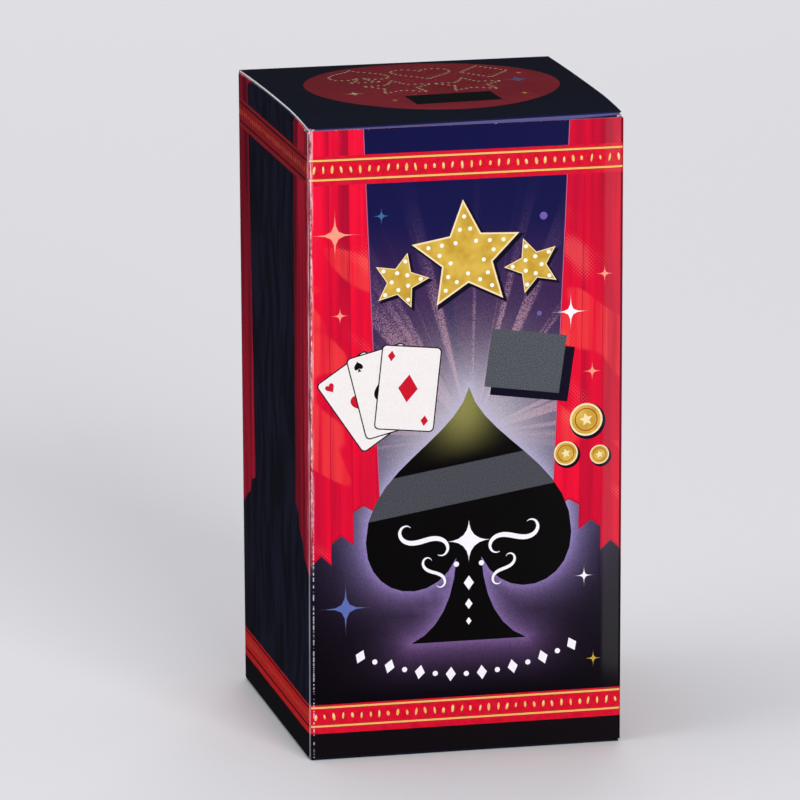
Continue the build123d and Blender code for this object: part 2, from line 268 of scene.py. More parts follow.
def ink_night(b):
    """The front's navy ground, with stippled rays and a lavender glow round the spade."""
    shades = ((12, 7, 15), (16, 10, 24), (34, 28, 86), (22, 22, 76), (18, 18, 70))
    ground = b.ramp(b.z / HEIGHT, *zip((0.20, 0.34, 0.55, 0.78, 1.0), shades))
    away = b.distance(b.x, b.z, GLOW_CENTRE)
    turn = (b.x - GLOW_CENTRE[0]).calculate("ARCTAN2", b.z - GLOW_CENTRE[1])
    beams = b.noise(turn * 11.0 + 43.0, 0.5, detail=2.0).rise(0.50, 0.60)
    above = (b.z - GLOW_CENTRE[1] + b.x.size() * 0.2).rise(-3.0, 8.0)
    grain = b.all_over(4.5, detail=1.0)
    speckle = (grain + beams * 0.12 + away.rise(44.0, 14.0) * 0.26).rise(0.68, 0.84)
    broad = b.noise(turn * 3.5 + 12.0, 1.5, detail=1.0).rise(0.46, 0.54) * b.z.rise(112.0, 96.0)
    lit = b.mix(broad * above * 0.34, ground, (92, 48, 84))
    lit = b.mix(beams * above * away.rise(58.0, 16.0) * 0.50, lit, (92, 66, 116))
    dust = speckle * above * (beams * 0.85 + 0.15) * away.rise(52.0, 22.0) * 0.62
    lit = b.mix(dust, lit, (196, 150, 160))
    core = away.bell(0.0, 14.5) * (grain * 0.9 + 0.5)
    lit = b.mix(core * 0.85, lit, (206, 198, 204))
    edge = b.attribute("spade_distance")
    halo = (edge.fade(2.0) * 0.65 + edge.fade(5.0) * 0.30) * b.z.rise(10.0, 20.0) * (grain * 1.2 + 0.40)
    violets = ((0.16, (118, 84, 138)), (0.34, (146, 128, 188)), (0.52, (190, 184, 208)))
    return b.mix(halo, lit, b.ramp(b.z / HEIGHT, *violets))


def lit_cloth(b, cloth):
    """Slanting patches of warmer light on the hanging stripes, some of them screened with dots."""
    slant = b.x * 0.55 + b.z
    faded = (b.z.rise(96.0, 116.0) + b.z.rise(66.0, 56.0)) * 0.2
    patches = b.noise(b.x * 0.05, slant * 0.085, 7.0, detail=1.0) - faded
    streaks = b.noise(b.x * 0.55, b.z * 0.015, 9.0, detail=2.0)
    warm = b.mix(patches.rise(0.51, 0.55) * streaks.rise(0.26, 0.58) * 0.72, cloth, (246, 60, 62))
    dots = b.halftone(b.x, b.z, 0.55, b.noise(b.x * 0.07, slant * 0.09, 1.0, detail=1.0).rise(0.60, 0.78))
    return b.mix(dots * 0.26, warm, (255, 120, 110))


def ink_red(b):
    return lit_cloth(b, fabric_folds(b, b.x, (198, 0, 50), (222, 0, 48), (240, 0, 48), (248, 14, 60)))


def ink_crimson(b):
    return lit_cloth(b, fabric_folds(b, b.x + 11.0, (176, 0, 46), (200, 0, 46), (224, 0, 48), (240, 6, 54)))


def ink_band(b):
    streaks = b.noise(b.x * 0.8 + b.y * 0.8, b.z * 0.9, 2.0)
    return b.ramp(streaks, (0.3, (206, 2, 38)), (0.6, (228, 8, 48)))


def ink_band_side(b):
    streaks = b.noise(b.y * 1.2, b.z * 1.2, 2.0, detail=4.0)
    low = b.ramp(streaks, (0.3, (222, 14, 24)), (0.7, (244, 40, 40)))
    high = b.ramp(streaks, (0.3, (150, 20, 32)), (0.7, (180, 34, 40)))
    # The upper band is darker than the lower: painted shade.
    return b.mix(b.z.rise(30.0, 90.0), low, high)


def ink_side_night(b):
    """Near-black navy with upright wavy tone-on-tone stripes."""
    sway = (b.z * 0.20 + b.noise(b.y * 0.2, b.z * 0.05) * 6.0).sine() * 1.3
    stripes = b.noise((b.y + sway) * 0.30, b.z * 0.05, 5.0, detail=2.0).rise(0.40, 0.62)
    return b.mix(stripes, (12, 12, 32), (30, 30, 54))


def ink_shaded_maroon(b):
    # The front's red stripes carried round onto the side walls, made darker in part as painted shade.
    return fabric_folds(b, b.y * 0.9, (98, 0, 28), (146, 4, 36), (188, 8, 46), (218, 34, 64))


def mottled(fineness, detail, *stops):
    """An ink that varies in soft patches between colours."""
    return lambda b: b.ramp(b.all_over(fineness, detail), *stops)


def ink_spade(b):
    """Black, with a grainy grey sash and an olive sheen above it."""
    grain = b.all_over(4.0, detail=1.0)
    height = b.z - b.x * 0.16
    sheen = height.rise(60.5, 72.0) * b.x.bell(SPADE_CENTRE[0] - 1.0, 5.5)
    body = b.mix(sheen * (grain * 0.8 + 0.5), (10, 8, 9), (146, 142, 78))
    sash = height.rise(52.30, 52.42) * height.rise(60.42, 60.30)
    greys = b.ramp(grain, (0.3, (60, 61, 68)), (0.7, (84, 85, 92)))
    return b.mix(sash, body, greys)


def plain(*colour):
    """An ink of one colour, with the slight unevenness of solid print."""

    def ink(b):
        tone = b.all_over(2.5).rise(0.2, 0.8)
        darker, lighter = ([min(255, c * share) for c in colour] for share in (0.985, 1.015))
        return b.mix(tone, darker, lighter)

    return ink


INKS = {
    "night": ink_night,
    "red": ink_red,
    "crimson": ink_crimson,
    "fold_line": plain(188, 0, 46),
    # painted shade: a dark red line along the front's creases, where the board turns away from the light
    "edge_red": plain(132, 0, 36),
    "rim_pink": plain(196, 96, 136),
    "band": ink_band,
    "band_side": ink_band_side,
    "side_night": ink_side_night,
    "maroon": ink_shaded_maroon,
    "lid_ground": plain(23, 27, 42),
    # navy lighter than the lid's ground; on the rounded nose it is partly painted light caught by the fold
    "lid_fold": plain(30, 34, 78),
    # painted highlight along the lid's rounded nose
    "lid_shine": plain(92, 90, 142),
    "lid_disc": mottled(0.06, 2.0, (0.3, (134, 36, 46)), (0.7, (150, 42, 52))),
    "lid_black": plain(16, 19, 20),
    "lid_dot": plain(196, 200, 150),
    "gold": mottled(0.35, 2.0, (0.35, (198, 156, 48)), (0.65, (222, 184, 76))),
    "gold_line": plain(255, 188, 104),
    "gold_shade": plain(168, 44, 40),
    "cream": plain(250, 226, 178),
    "bulb": plain(255, 250, 236),
    # painted shade: the side walls' band lines, dark where the front's are gold
    "side_line": plain(44, 6, 16),
    "side_shade": plain(110, 14, 30),
    "side_mark": plain(255, 110, 70),
    "black": plain(19, 13, 18),
    "shadow": plain(16, 12, 34),
    "spade": ink_spade,
    "tag": mottled(4.0, 1.0, (0.30, (62, 64, 72)), (0.70, (98, 102, 108))),
    "card": plain(244, 238, 236),
    "pip": plain(206, 16, 42),
    "pink": plain(255, 158, 132),
    "blue": plain(92, 108, 176),
    "teal": plain(60, 112, 156),
    "violet": plain(112, 92, 170),
    "white": plain(250, 246, 255),
    "coated": plain(226, 226, 230),
}


# ---------------- board and varnish
def crease_wear(b):
    """Cracked varnish along the upright creases: a pale line on one side of each, dots on the other."""
    across = b.x.size() - b.y.size()
    at_corner = (b.x.size() + b.y.size()).rise(2 * HALF - 2.6, 2 * HALF - 2.3) * b.z.rise(0.3, 0.6)
    flecks = b.noise(b.x * 2.6, b.y * 2.6, b.z * 0.75, detail=4.0, roughness=0.7)
    beat = b.noise(b.x * 0.2, b.y * 0.2, b.z * 2.2, detail=1.0)
    slow = b.noise(b.x * 0.1, b.y * 0.1, b.z * 0.14, detail=2.0)
    left_front = (b.x + b.y).rise(-2 * HALF + 6.0, -2 * HALF + 3.0)
    right_front = (b.x - b.y).rise(2 * HALF - 6.0, 2 * HALF - 3.0)
    wear = left_front * 0.75 + (right_front * -1.0 + 1.0) * 0.25
    high = b.z.rise(*WEAR_CHANGES)
    streaks = b.noise(b.x * 2.4, b.y * 2.4, b.z * 0.16, detail=4.0, roughness=0.65)
    sound = across.bell(0.46, 0.26) * (slow * 0.7 + 0.30)
    dotted = across.bell(-0.80, 0.11) * beat.rise(0.44, 0.56)
    scoured = across.rise(2.4, 1.5) * across.rise(-1.1, -0.9) * streaks.rise(0.42, 0.64) * (flecks + 0.25)
    cracked = across.bell(-0.50, 0.20) * flecks.rise(0.40, 0.60) * 0.8
    groove = across.bell(-0.10, 0.16) * -0.8 + 1.0
    low = (sound + dotted) * (high * -1.0 + 1.0)
    return (low + (scoured * 0.7 + cracked + sound * 0.5) * groove * high) * wear * at_corner


def edge_wear(b):
    """The scuffed front top left corner, and nicks along the front panel's top edge."""
    flecks = b.all_over(1.9, detail=4.0, roughness=0.7)
    du, dv, dw = b.x + HALF, b.y + HALF, b.z - HEIGHT
    scuffed = (flecks - (du * du + dv * dv + dw * dw).root() * 0.42).rise(0.02, 0.26)
    top = FRONT_HIGH.z + FRONT_RISE
    nicks = b.z.rise(top - 0.22, top - 0.08) * b.z.rise(top + 0.05, top) * flecks.rise(0.60, 0.72)
    return scuffed.at_least(nicks * b.y.rise(-HALF + 0.6, -HALF + 0.3))


def new_material(name):
    material = bpy.data.materials.new(name)
    material.use_nodes = True
    tree = material.node_tree
    return material, tree.nodes["Principled BSDF"], Brush(tree)


def add_bump(shader, height, distance, strength):
    bump = height.tree.nodes.new("ShaderNodeBump")
    settle(bump, {"Distance": distance * MM, "Strength": strength, "Height": height})
    height.tree.links.new(bump.outputs["Normal"], shader.inputs["Normal"])


def varnished(name, ink):
    """Printed and varnished cartonboard."""
    material, shader, b = new_material("print_" + name)
    worn = crease_wear(b).at_least(edge_wear(b))
    on_side = (b.x.size() - b.y.size()).rise(0.3, 1.0)
    reddish = b.mix(on_side, (255, 206, 214), (255, 96, 120))
    bare = b.mix(b.z.rise(*WEAR_CHANGES), (214, 218, 236), reddish)
    smudge = b.all_over(0.12, detail=3.0)
    colour, roughness = b.mix(worn * 0.88, ink(b), bare), smudge * 0.12 + worn * 0.4 + 0.24
    settle(shader, {"Base Color": colour, "Roughness": roughness, "Specular IOR Level": 0.12})
    settle(shader, {"Coat Weight": 0.75, "Coat Roughness": 0.07})
    waves = b.noise(b.x * 0.07, b.y * 0.07, b.z * 0.05, detail=1.0)
    fibres = b.all_over(2.6)
    add_bump(shader, waves * 0.9 + fibres * 0.012 - worn * 0.08, 1.0, 0.35)
    return material


def raw_board(name, colour, fineness=3.0):
    """Unprinted board, or its cut edge."""
    material, shader, b = new_material(name)
    fibres = b.all_over(fineness, detail=5.0, roughness=0.7)
    tone = fibres * 0.85 + b.all_over(0.15) * 0.15
    shade = b.ramp(tone, (0.3, [c * 0.88 for c in colour]), (0.65, colour))
    settle(shader, {"Base Color": shade, "Roughness": 0.85, "Specular IOR Level": 0.25})
    add_bump(shader, fibres, 0.05, 0.6)
    return material


# ---------------- flat shapes, as lists of points in millimetres
def moved(points, centre, size=1.0, turn=0.0):
    """Points about the origin, scaled, turned anticlockwise by degrees and carried to a centre."""
    c, s = math.cos(math.radians(turn)), math.sin(math.radians(turn))
    return [(centre[0] + size * (c * u - s * v), centre[1] + size * (s * u + c * v)) for u, v in points]


def rectangle(left, bottom, right, top):
    return [(left, bottom), (right, bottom), (right, top), (left, top)]


def arc(centre, radius, start, end, steps=6):
    """Points from one angle to another, in degrees, with both ends."""
    angles = [math.radians(start + (end - start) * k / steps) for k in range(steps + 1)]
    return [(centre[0] + radius * math.cos(a), centre[1] + radius * math.sin(a)) for a in angles]


def circle(centre, radius, sides=32):
    return arc(centre, radius, 0, 360, sides)[:-1]


def star(points=5, waist=0.47):
    """A star of unit size with a point upwards."""
    angles = [math.pi / 2 + math.pi * k / points for k in range(2 * points)]
    sizes = [1.0 if k % 2 == 0 else waist for k in range(2 * points)]
    return [(r * math.cos(a), r * math.sin(a)) for r, a in zip(sizes, angles)]


def sparkle(hollow=6, sides=32):
    """A four-pointed glint of unit size, with hollow sides."""
    turns = [(math.cos(2 * math.pi * k / sides), math.sin(2 * math.pi * k / sides)) for k in range(sides)]
    return [(math.copysign(abs(c) ** hollow, c), math.copysign(abs(s) ** hollow, s)) for c, s in turns]


def curve(*corners, steps=10):
    """Points along a Bezier curve, without its last point."""
    a, b, c, d = (Vector(p) for p in corners)
    shares = [k / steps for k in range(steps)]
    return [
        tuple(a * (1 - t) ** 3 + b * 3 * t * (1 - t) ** 2 + c * 3 * t * t * (1 - t) + d * t**3)
        for t in shares
    ]


def mirrored(half):
    """Closes an outline drawn from the top down its right side, with the same on the left."""
    return half + [(-u, v) for u, v in reversed(half) if abs(u) > 1e-6]


def spade():
    """A spade about one unit wide each side of its centre line."""
    half = curve((0, 1.08), (0.10, 0.66), (0.82, 0.46), (0.82, -0.12))
    half += curve((0.82, -0.12), (0.82, -0.58), (0.28, -0.68), (0.10, -0.28))
    half += curve((0.10, -0.28), (0.12, -0.62), (0.24, -0.86), (0.46, -0.95), steps=6)
    return mirrored(half + [(0.46, -0.95), (0.0, -0.95)])


def heart():
    half = curve((0, 0.45), (0.12, 0.90), (0.86, 0.90), (0.86, 0.34))
    half += curve((0.86, 0.34), (0.86, -0.12), (0.22, -0.50), (0, -0.95))
    return mirrored(half + [(0.0, -0.95)])


def double_scroll(steps=72, curl=8.2, thick=0.17):
    """An S of two spirals about one unit long each side of its middle, thickest there."""
    way = np.linspace(-1, 1, steps)
    turn = curl * way * way * 0.5
    across, up = np.cumsum(np.cos(turn)), np.cumsum(np.sin(turn))
    across, up = across - across[steps // 2], up - up[steps // 2]
    size = np.hypot(across, up).max()
    half = thick * (1.1 - way * way) / 2
    out, back = [], []
    for p, q, a, w in zip(across / size, up / size, turn, half):
        out.append((p - w * math.sin(a), q + w * math.cos(a)))
        back.append((p + w * math.sin(a), q - w * math.cos(a)))
    return out + back[::-1]


def diamond():
    return [(0, 1), (0.7, 0), (0, -1), (-0.7, 0)]


def rounded(width, height, radius):
    """A rectangle about the origin with rounded corners."""
    u, v = width / 2 - radius, height / 2 - radius
    corners = (((u, v), 0), ((-u, v), 90), ((-u, -v), 180), ((u, -v), 270))
    return [point for centre, start in corners for point in arc(centre, radius, start, start + 90, 5)]


# ---------------- a printed sheet
class Sheet:
    """A flat sheet and the inks painted on it. The last paint lies on top."""

    def __init__(self, outline, ground):
        self.outline = outline
        self.paints = [(ground, outline)]
        self.folds = []

    def paint(self, ink, points):
        self.paints.append((ink, points))

    def fold(self, start, end, pieces=1):
        """A line that no triangle may cross, as the sheet bends there. In pieces, it can bend too."""
        self.folds.append([tuple(p) for p in np.linspace(start, end, pieces + 1).tolist()])

    def cut(self, grid):
        """Triangles of the sheet: points, corner numbers and the ink of each."""
        places, edges = [], []
        for _, points in self.paints:
            first = len(places)
            places += points
            edges += [(first + k, first + (k + 1) % len(points)) for k in range(len(points))]
        for line in self.folds:
            first = len(places)
            edges += [(first + k, first + k + 1) for k in range(len(line) - 1)]
            places += line
        low, high = np.min(self.outline, axis=0), np.max(self.outline, axis=0)
        counts = np.maximum(1, np.round((high - low) / grid)).astype(int)
        rows = [np.linspace(low[k], high[k], counts[k] + 1)[1:-1] for k in (0, 1)]
        inner = np.array([(u, v) for u in rows[0] for v in rows[1]])
        for line in self.folds:
            inner = inner[distance_to(inner, [line[0], line[-1]]) > grid / 4]
        places += inner.tolist()
        found = delaunay_2d_cdt([Vector(p) for p in places], edges, [], 0, 1e-4, False)
        points = np.array([tuple(p) for p in found[0]])
        corners = np.array([tuple(f) for f in found[2]])
        middles = points[corners].mean(axis=1)
        inks = np.zeros(len(corners), int)
        for number, (_, outline) in enumerate(self.paints):
            inks[inside(middles, outline)] = number
        kept = inside(middles, self.outline)
        used, numbers = np.unique(corners[kept], return_inverse=True)
        return points[used], numbers.reshape(-1, 3), [self.paints[n][0] for n in inks[kept]]


def inside(points, outline):
    """Which of the points lie inside a closed outline."""
    corners = np.array(outline)
    near = np.all((points >= corners.min(0)) & (points <= corners.max(0)), axis=1)
    u, v = points[near].T
    crossed = np.zeros(near.sum(), bool)
    for (u0, v0), (u1, v1) in zip(corners, np.roll(corners, -1, axis=0)):
        if v0 != v1:
            spans = (v0 > v) != (v1 > v)
            crossed ^= spans & (u < (u1 - u0) * (v - v0) / (v1 - v0) + u0)
    found = np.zeros(len(points), bool)
    found[near] = crossed
    return found


def distance_to(points, outline):
    """How far each point is from an outline."""
    corners = np.array(outline)
    best = np.full(len(points), np.inf)
    for start, end in zip(corners, np.roll(corners, -1, axis=0)):
        along = end - start
        if along @ along > 0:
            share = np.clip((points - start) @ along / (along @ along), 0, 1)
            best = np.minimum(best, np.linalg.norm(points - start - share[:, None] * along, axis=1))
    return best


def rim_of(corners):
    """The edges that only one triangle has."""
    sides = {(t[k], t[(k + 1) % 3]) for t in corners.tolist() for k in range(3)}
    return [(a, b) for a, b in sorted(sides) if (b, a) not in sides]


def add_object(name, data):
    made = bpy.data.objects.new(name, data)
    bpy.context.scene.collection.objects.link(made)
    return made


def board_piece(name, sheet, place, edge, grid=2.6, **attributes):
    """Bends a sheet to its place and gives it the board's thickness, as one closed mesh."""
    points, corners, inks = sheet.cut(grid)
    outer, normals = place(points)
    outer, inner = flared(outer), flared(outer - normals * BOARD)
    count, rim = len(points), rim_of(corners)
    faces = corners.tolist()
    faces += [[c + count, b + count, a + count] for a, b, c in corners.tolist()]
    faces += [[b, a, a + count, b + count] for a, b in rim]
    used = sorted(set(inks))
    slots = [used.index(ink) for ink in inks]
    slots += [len(used)] * len(corners) + [len(used) + 1] * len(rim)
    mesh = bpy.data.meshes.new(name)
    mesh.from_pydata((np.vstack([outer, inner]) * MM).tolist(), [], faces)
    for material in [PRINTS[ink] for ink in used] + [BOARD_INSIDE, edge]:
        mesh.materials.append(material)
    mesh.polygons.foreach_set("material_index", slots)
    mesh.polygons.foreach_set("use_smooth", [True] * (2 * len(corners)) + [False] * len(rim))
    for title, numbers in attributes.items():
        layer = mesh.attributes.new(title, "FLOAT", "POINT")
        layer.data.foreach_set("value", np.tile(numbers(points), 2).astype(np.float32))
    mesh.update()
    rims = range(2 * len(corners), len(faces))
    rim_normals = [tuple(mesh.polygons[k].normal) for k in rims for _ in range(4)]
    skin = np.vstack([normals[corners.ravel()], -normals[corners[:, ::-1].ravel()]])
    mesh.normals_split_custom_set([tuple(n) for n in skin] + rim_normals)
    return add_object(name, mesh)


# ---------------- motifs
def paint_glint(sheet, ink, centre, size):
    sheet.paint(ink, moved(sparkle(), centre, size))
    sheet.paint(ink, moved(sparkle(9, 24), centre, size * 0.45, 45))


def paint_bulbs(sheet, ink, outline, radius, pitch):
    """Small discs spaced evenly along a closed line."""
    corners = [Vector(p) for p in outline]
    sides = list(zip(corners, corners[1:] + corners[:1]))
    lengths = np.cumsum([0.0] + [(b - a).length for a, b in sides])
    for way in np.arange(0, lengths[-1] - pitch / 2, lengths[-1] / round(lengths[-1] / pitch)):
        side = int(np.searchsorted(lengths, way, side="right")) - 1
        a, b = sides[side]
        share = (way - lengths[side]) / (lengths[side + 1] - lengths[side])
        sheet.paint(ink, circle(a.lerp(b, share), radius, 10))


def paint_marquee_star(sheet, centre, size, turn, between):
    """A gold star with a cream rim, a dark shadow and bulbs, with so many from corner to corner."""
    sheet.paint("shadow", moved(star(), (centre[0] + 0.5, centre[1] - 0.5), size * 1.12, turn))
    sheet.paint("cream", moved(star(), centre, size * 1.06, turn))
    sheet.paint("gold", moved(star(), centre, size * 0.98, turn))
    row = [Vector(p) for p in moved(star(waist=0.44), centre, size * 0.74, turn)]
    for a, b in zip(row, row[1:] + row[:1]):
        for k in range(between + 1):
            sheet.paint("bulb", circle(a.lerp(b, k / (between + 1)), 0.44, 10))


def paint_card(sheet, centre, height, turn, ink, pip):
    width = 0.70 * height
    sheet.paint("black", moved(rounded(width + 0.5, height + 0.5, 1.0), centre, 1, turn))
    sheet.paint("card", moved(rounded(width, height, 0.8), centre, 1, turn))
    sheet.paint(ink, moved(pip, centre, height * 0.17, turn))
    for side in (1, -1):
        corner = moved([(-side * width * 0.34, side * height * 0.38)], centre, 1, turn)[0]
        sheet.paint(ink, moved(pip, corner, height * 0.065, turn + (0 if side > 0 else 180)))


def paint_coin(sheet, centre, radius):
    sheet.paint("shadow", circle((centre[0] + 0.3, centre[1] - 0.35), radius * 1.1))
    for ink, share in (("cream", 1.0), ("gold", 0.88), ("gold_shade", 0.70), ("gold", 0.64)):
        sheet.paint(ink, circle(centre, radius * share))
    sheet.paint("cream", moved(star(), centre, radius * 0.42, 12))


def paint_band(sheet, levels, width, seed, band="band", line="gold_line", shade="gold_shade", bead="cream"):
    """A common border: a red band with two lines and a row of uneven upright beads between them."""
    low, low_line, high_line, high = levels
    sheet.paint(band, rectangle(-width / 2, low, width / 2, high))
    line_w = LINE_W if line == "gold_line" else LINE_W * 0.6
    for v in (low_line, high_line):
        for ink, wide in ((shade, line_w * 1.8), (line, line_w)):
            sheet.paint(ink, rectangle(-width / 2, v - wide / 2, width / 2, v + wide / 2))
    draw = np.random.default_rng(seed)
    count = round(width / BEAD_PITCH)
    drop_ink = line if line == "gold_line" else bead
    for k in range(count):
        u = -width / 2 + (k + 0.5) * width / count + draw.uniform(-0.12, 0.12)
        wide, tall, lean = draw.uniform(0.20, 0.32), draw.uniform(0.48, 0.86), draw.uniform(-14, 14)
        drop = [(wide * p, tall * q) for p, q in circle((0, 0), 1.0, 10)]
        middle = (low_line + high_line) / 2 + draw.uniform(-0.12, 0.12)
        sheet.paint(shade, moved(drop, (u + 0.12, middle - 0.08), 1.18, lean))
        sheet.paint(drop_ink, moved(drop, (u, middle), 1.0, lean))
        if draw.uniform() < 0.6:
            sheet.paint(bead, moved(drop, (u - 0.03, middle + tall * 0.3), 0.5, lean))


def paint_ribbon(sheet, ink, side, outer, inner_top, inner_low, bottom):
    """A hanging stripe with a swallow tail, on the left for side -1 and on the right for side 1."""
    top, notch = HEIGHT + OVER, 2.0
    middle = (outer + inner_low) / 2
    shape = [(outer, top), (outer, bottom), (middle, bottom + notch), (inner_low, bottom), (inner_top, top)]
    sheet.paint("fold_line", [(side * (u - 0.14), v - 0.4) for u, v in shape])
    sheet.paint(ink, [(side * u, v) for u, v in shape])


def flared(places):
    """Spreads places on the carton as its tube is sprung open: most at the top rear, and none in front."""
    x, y, z = places.T
    return np.column_stack([x * (1 + FLARE * (z / HEIGHT) * (y + HALF) / (2 * HALF)), y, z])


# ---------------- the carton's four walls
def crease_profile(steps=20):
    """Half a wall, from its middle to its crease's: length along the board, place, drop and turn."""
    crease_length = (math.pi / 4 - ROLL_ANGLE) * CREASE_R
    rolled = np.linspace(0, ROLL_LENGTH, steps)
    creased = ROLL_LENGTH + np.linspace(0, crease_length, steps)[1:]
    lengths = np.concatenate([rolled, creased])
    turns = [ROLL_ANGLE * rolled / ROLL_LENGTH, ROLL_ANGLE + (creased - ROLL_LENGTH) / CREASE_R]
    turns = np.concatenate(turns)
    middles, gaps = (turns[1:] + turns[:-1]) / 2, np.diff(lengths)
    along = np.concatenate([[0], np.cumsum(np.cos(middles) * gaps)])
    drop = np.concatenate([[0], np.cumsum(np.sin(middles) * gaps)])
    flat = HALF - drop[-1] - along[-1]
    return [np.concatenate([[0], column]) for column in (lengths + flat, along + flat, drop, turns)]


PROFILE = crease_profile()
EDGE = PROFILE[0][-1]  # half a wall's width along the board


def wall_place(outward, onward):
    """Stands a wall up, and rolls it back at its two creases."""

    def place(points):
        side, reach = np.sign(points[:, 0]), np.abs(points[:, 0])
        along, drop, turn = (np.interp(reach, PROFILE[0], column) for column in PROFILE[1:])
        out, on = np.array(outward, float), np.array(onward, float)
        plan = out * (HALF - drop)[:, None] + on * (side * along)[:, None]
        normal = out * np.cos(turn)[:, None] + on * (side * np.sin(turn))[:, None]
        return np.column_stack([plan, points[:, 1]]), np.column_stack([normal, 0 * reach])

    return place


def draw_main(sheet):
    """The main print: a spade in a glow between hanging ribbons, with stars, cards, coins and glints."""
    top = HEIGHT + OVER
    for side, middle_end, inner_end in ((-1, 45.0, 51.0), (1, 45.5, 50.0)):
        rim = [(21.1, top), (17.7, inner_end - 0.4), (19.0, inner_end), (22, top)]
        sheet.paint("rim_pink", [(side * u, v) for u, v in rim])
        paint_ribbon(sheet, "red", side, 24.8, 21.4, 18.0, inner_end)
        paint_ribbon(sheet, "crimson", side, 28.6, 24.4, 23.4, middle_end)
        paint_ribbon(sheet, "red" if side < 0 else "crimson", side, EDGE, 28.4, 28.0, HEM)
    # A dark red line just before both of the front's creases: painted shade where the board turns away from
    # the light.
    for side in (-1, 1):
        sheet.paint("edge_red", [(side * u, v) for u, v in rectangle(EDGE - 0.5, HEM, EDGE, top)])
    sheet.paint("black", rectangle(-EDGE, -OVER, EDGE, BAND_BOTTOM[0]))
    paint_band(sheet, BAND_TOP, 2 * EDGE, 4)
    paint_band(sheet, BAND_BOTTOM, 2 * EDGE, 5)
    paint_marquee_star(sheet, (0.0, 103.0), 11.0, 4, 1)
    paint_marquee_star(sheet, (-13.6, 98.5), 5.6, -14, 0)
    paint_marquee_star(sheet, (13.6, 100.5), 5.6, 20, 0)
    for turn, ink, pip in ((34, "pip", heart()), (14, "black", spade()), (-6, "pip", diamond())):
        centre = moved([(0, 13.5)], (-13.5, 63.0), 1, turn)[0]
        paint_card(sheet, centre, 17.0, turn, ink, pip)
    sheet.paint("shadow", moved(rectangle(-7.6, -6.3, 8.6, 5.0), (13.2, 79.4), 1, -8))
    sheet.paint("tag", moved(rectangle(-8.1, -5.4, 7.5, 6.6), (12.4, 80.2), 1, -8))
    sheet.paint("spade", moved(spade(), SPADE_CENTRE, SPADE_SIZE))
    for centre, radius in (((24.8, 68.0), 3.4), ((20.6, 61.2), 2.5), ((27.6, 60.6), 2.0)):
        paint_coin(sheet, centre, radius)
    draw_white_trim(sheet)
    glints = (
        ("pink", (-27.0, 108.5), 6.0), ("white", (21.5, 90.5), 4.4), ("pink", (28.5, 98.0), 2.4),
        ("blue", (-25.0, 31.5), 6.5), ("white", (24.5, 35.5), 2.6), ("gold", (26.5, 18.0), 2.2),
        ("pink", (-26.0, 92.0), 2.4), ("teal", (-17.5, 112.0), 2.4), ("pink", (26.0, 78.0), 2.6),
    )
    for ink, centre, size in glints:
        paint_glint(sheet, ink, centre, size)
    for ink, centre, radius in (("violet", (15.8, 110.5), 0.8), ("violet", (15.0, 90.5), 0.5)):
        sheet.paint(ink, circle(centre, radius, 12))


def draw_white_trim(sheet):
    """White scrolls and glints on the spade, and a shallow garland of diamonds and dots under it."""
    u, v = SPADE_CENTRE
    sheet.paint("white", moved(sparkle(4), (u, v - 3.8), 4.6))
    for side in (-1, 1):
        for centre, size, turn in (((9.6, -3.4), 5.6, -14), ((7.4, -10.0), 3.6, 18)):
            scroll = [(side * p, q) for p, q in moved(double_scroll(), centre, size, turn)]
            sheet.paint("white", moved(scroll, (u, v)))
        sheet.paint("white", circle((u + side * 2.6, v - 8.6), 0.55, 12))
    for rise, size in ((-12.6, 1.5), (-17.0, 1.1), (-20.6, 0.8)):
        sheet.paint("white", moved(diamond(), (u, v + rise), size))
    count, radius, spread = 15, 52.0, 25.0
    for k in range(count):
        a = math.radians(-spread + 2 * spread * k / (count - 1))
        centre = (radius * math.sin(a), 16.4 + radius * (1 - math.cos(a)))
        shape = moved(diamond(), centre, 1.5, math.degrees(a)) if k % 2 == 0 else circle(centre, 0.55, 12)
        sheet.paint("white", shape)


def draw_side(sheet, front):
    """A side wall: navy between maroon stripes. front is 1 where +u is towards the front, else -1."""
    top = HEIGHT + OVER
    near_hem = ((0, 38.6), (4.2, 41.5), (5.0, 44.0), (8.6, 46.4), (9.6, 49.5), (NEAR_STRIPE, 51.0))
    far_hem = ((0, 38.0), (1.6, 39.0), (5.0, 41.0), (8.4, 42.6), (9.4, 45.4), (13.4, 46.6))
    far_top = ((9.6, HEIGHT - 1.6), (10.3, HEIGHT - 0.7), (FAR_STRIPE, HEIGHT), (FAR_STRIPE, top), (0, top))
    near_stripe = near_hem + ((NEAR_STRIPE, top), (0, top))
    # The maroon stripes are the front's red made darker, in part as painted shade.
    sheet.paint("maroon", [(front * (EDGE - u), v) for u, v in near_stripe])
    sheet.paint("maroon", [(front * (u - EDGE), v) for u, v in far_hem + far_top])
    sheet.paint("black", rectangle(-EDGE, -OVER, EDGE, BAND_BOTTOM[0]))
    # On the side walls the bands' two lines are painted dark and the upper band darker, as shade.
    for levels, seed in ((BAND_TOP, 7), (BAND_BOTTOM, 8)):
        paint_band(sheet, levels, 2 * EDGE, seed, "band_side", "side_line", "side_shade", "side_mark")


def make_wall(name, slot, place, low, high, draw):
    ground = "night" if slot == "printed_front" else "side_night"
    sheet = Sheet(rectangle(-EDGE, low, EDGE, high), ground)
    draw(sheet)
    for reach in PROFILE[0][1:-1:2]:
        for u in (-reach, reach):
            sheet.fold((u, -OVER), (u, HEIGHT + OVER))
    outline = moved(spade(), SPADE_CENTRE, SPADE_SIZE)
    spade_distance = lambda points: distance_to(points, outline)
    piece = board_piece(name + "_print", sheet, place, MAUVE_EDGE, spade_distance=spade_distance)
    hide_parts(name)
    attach(piece, "carton")


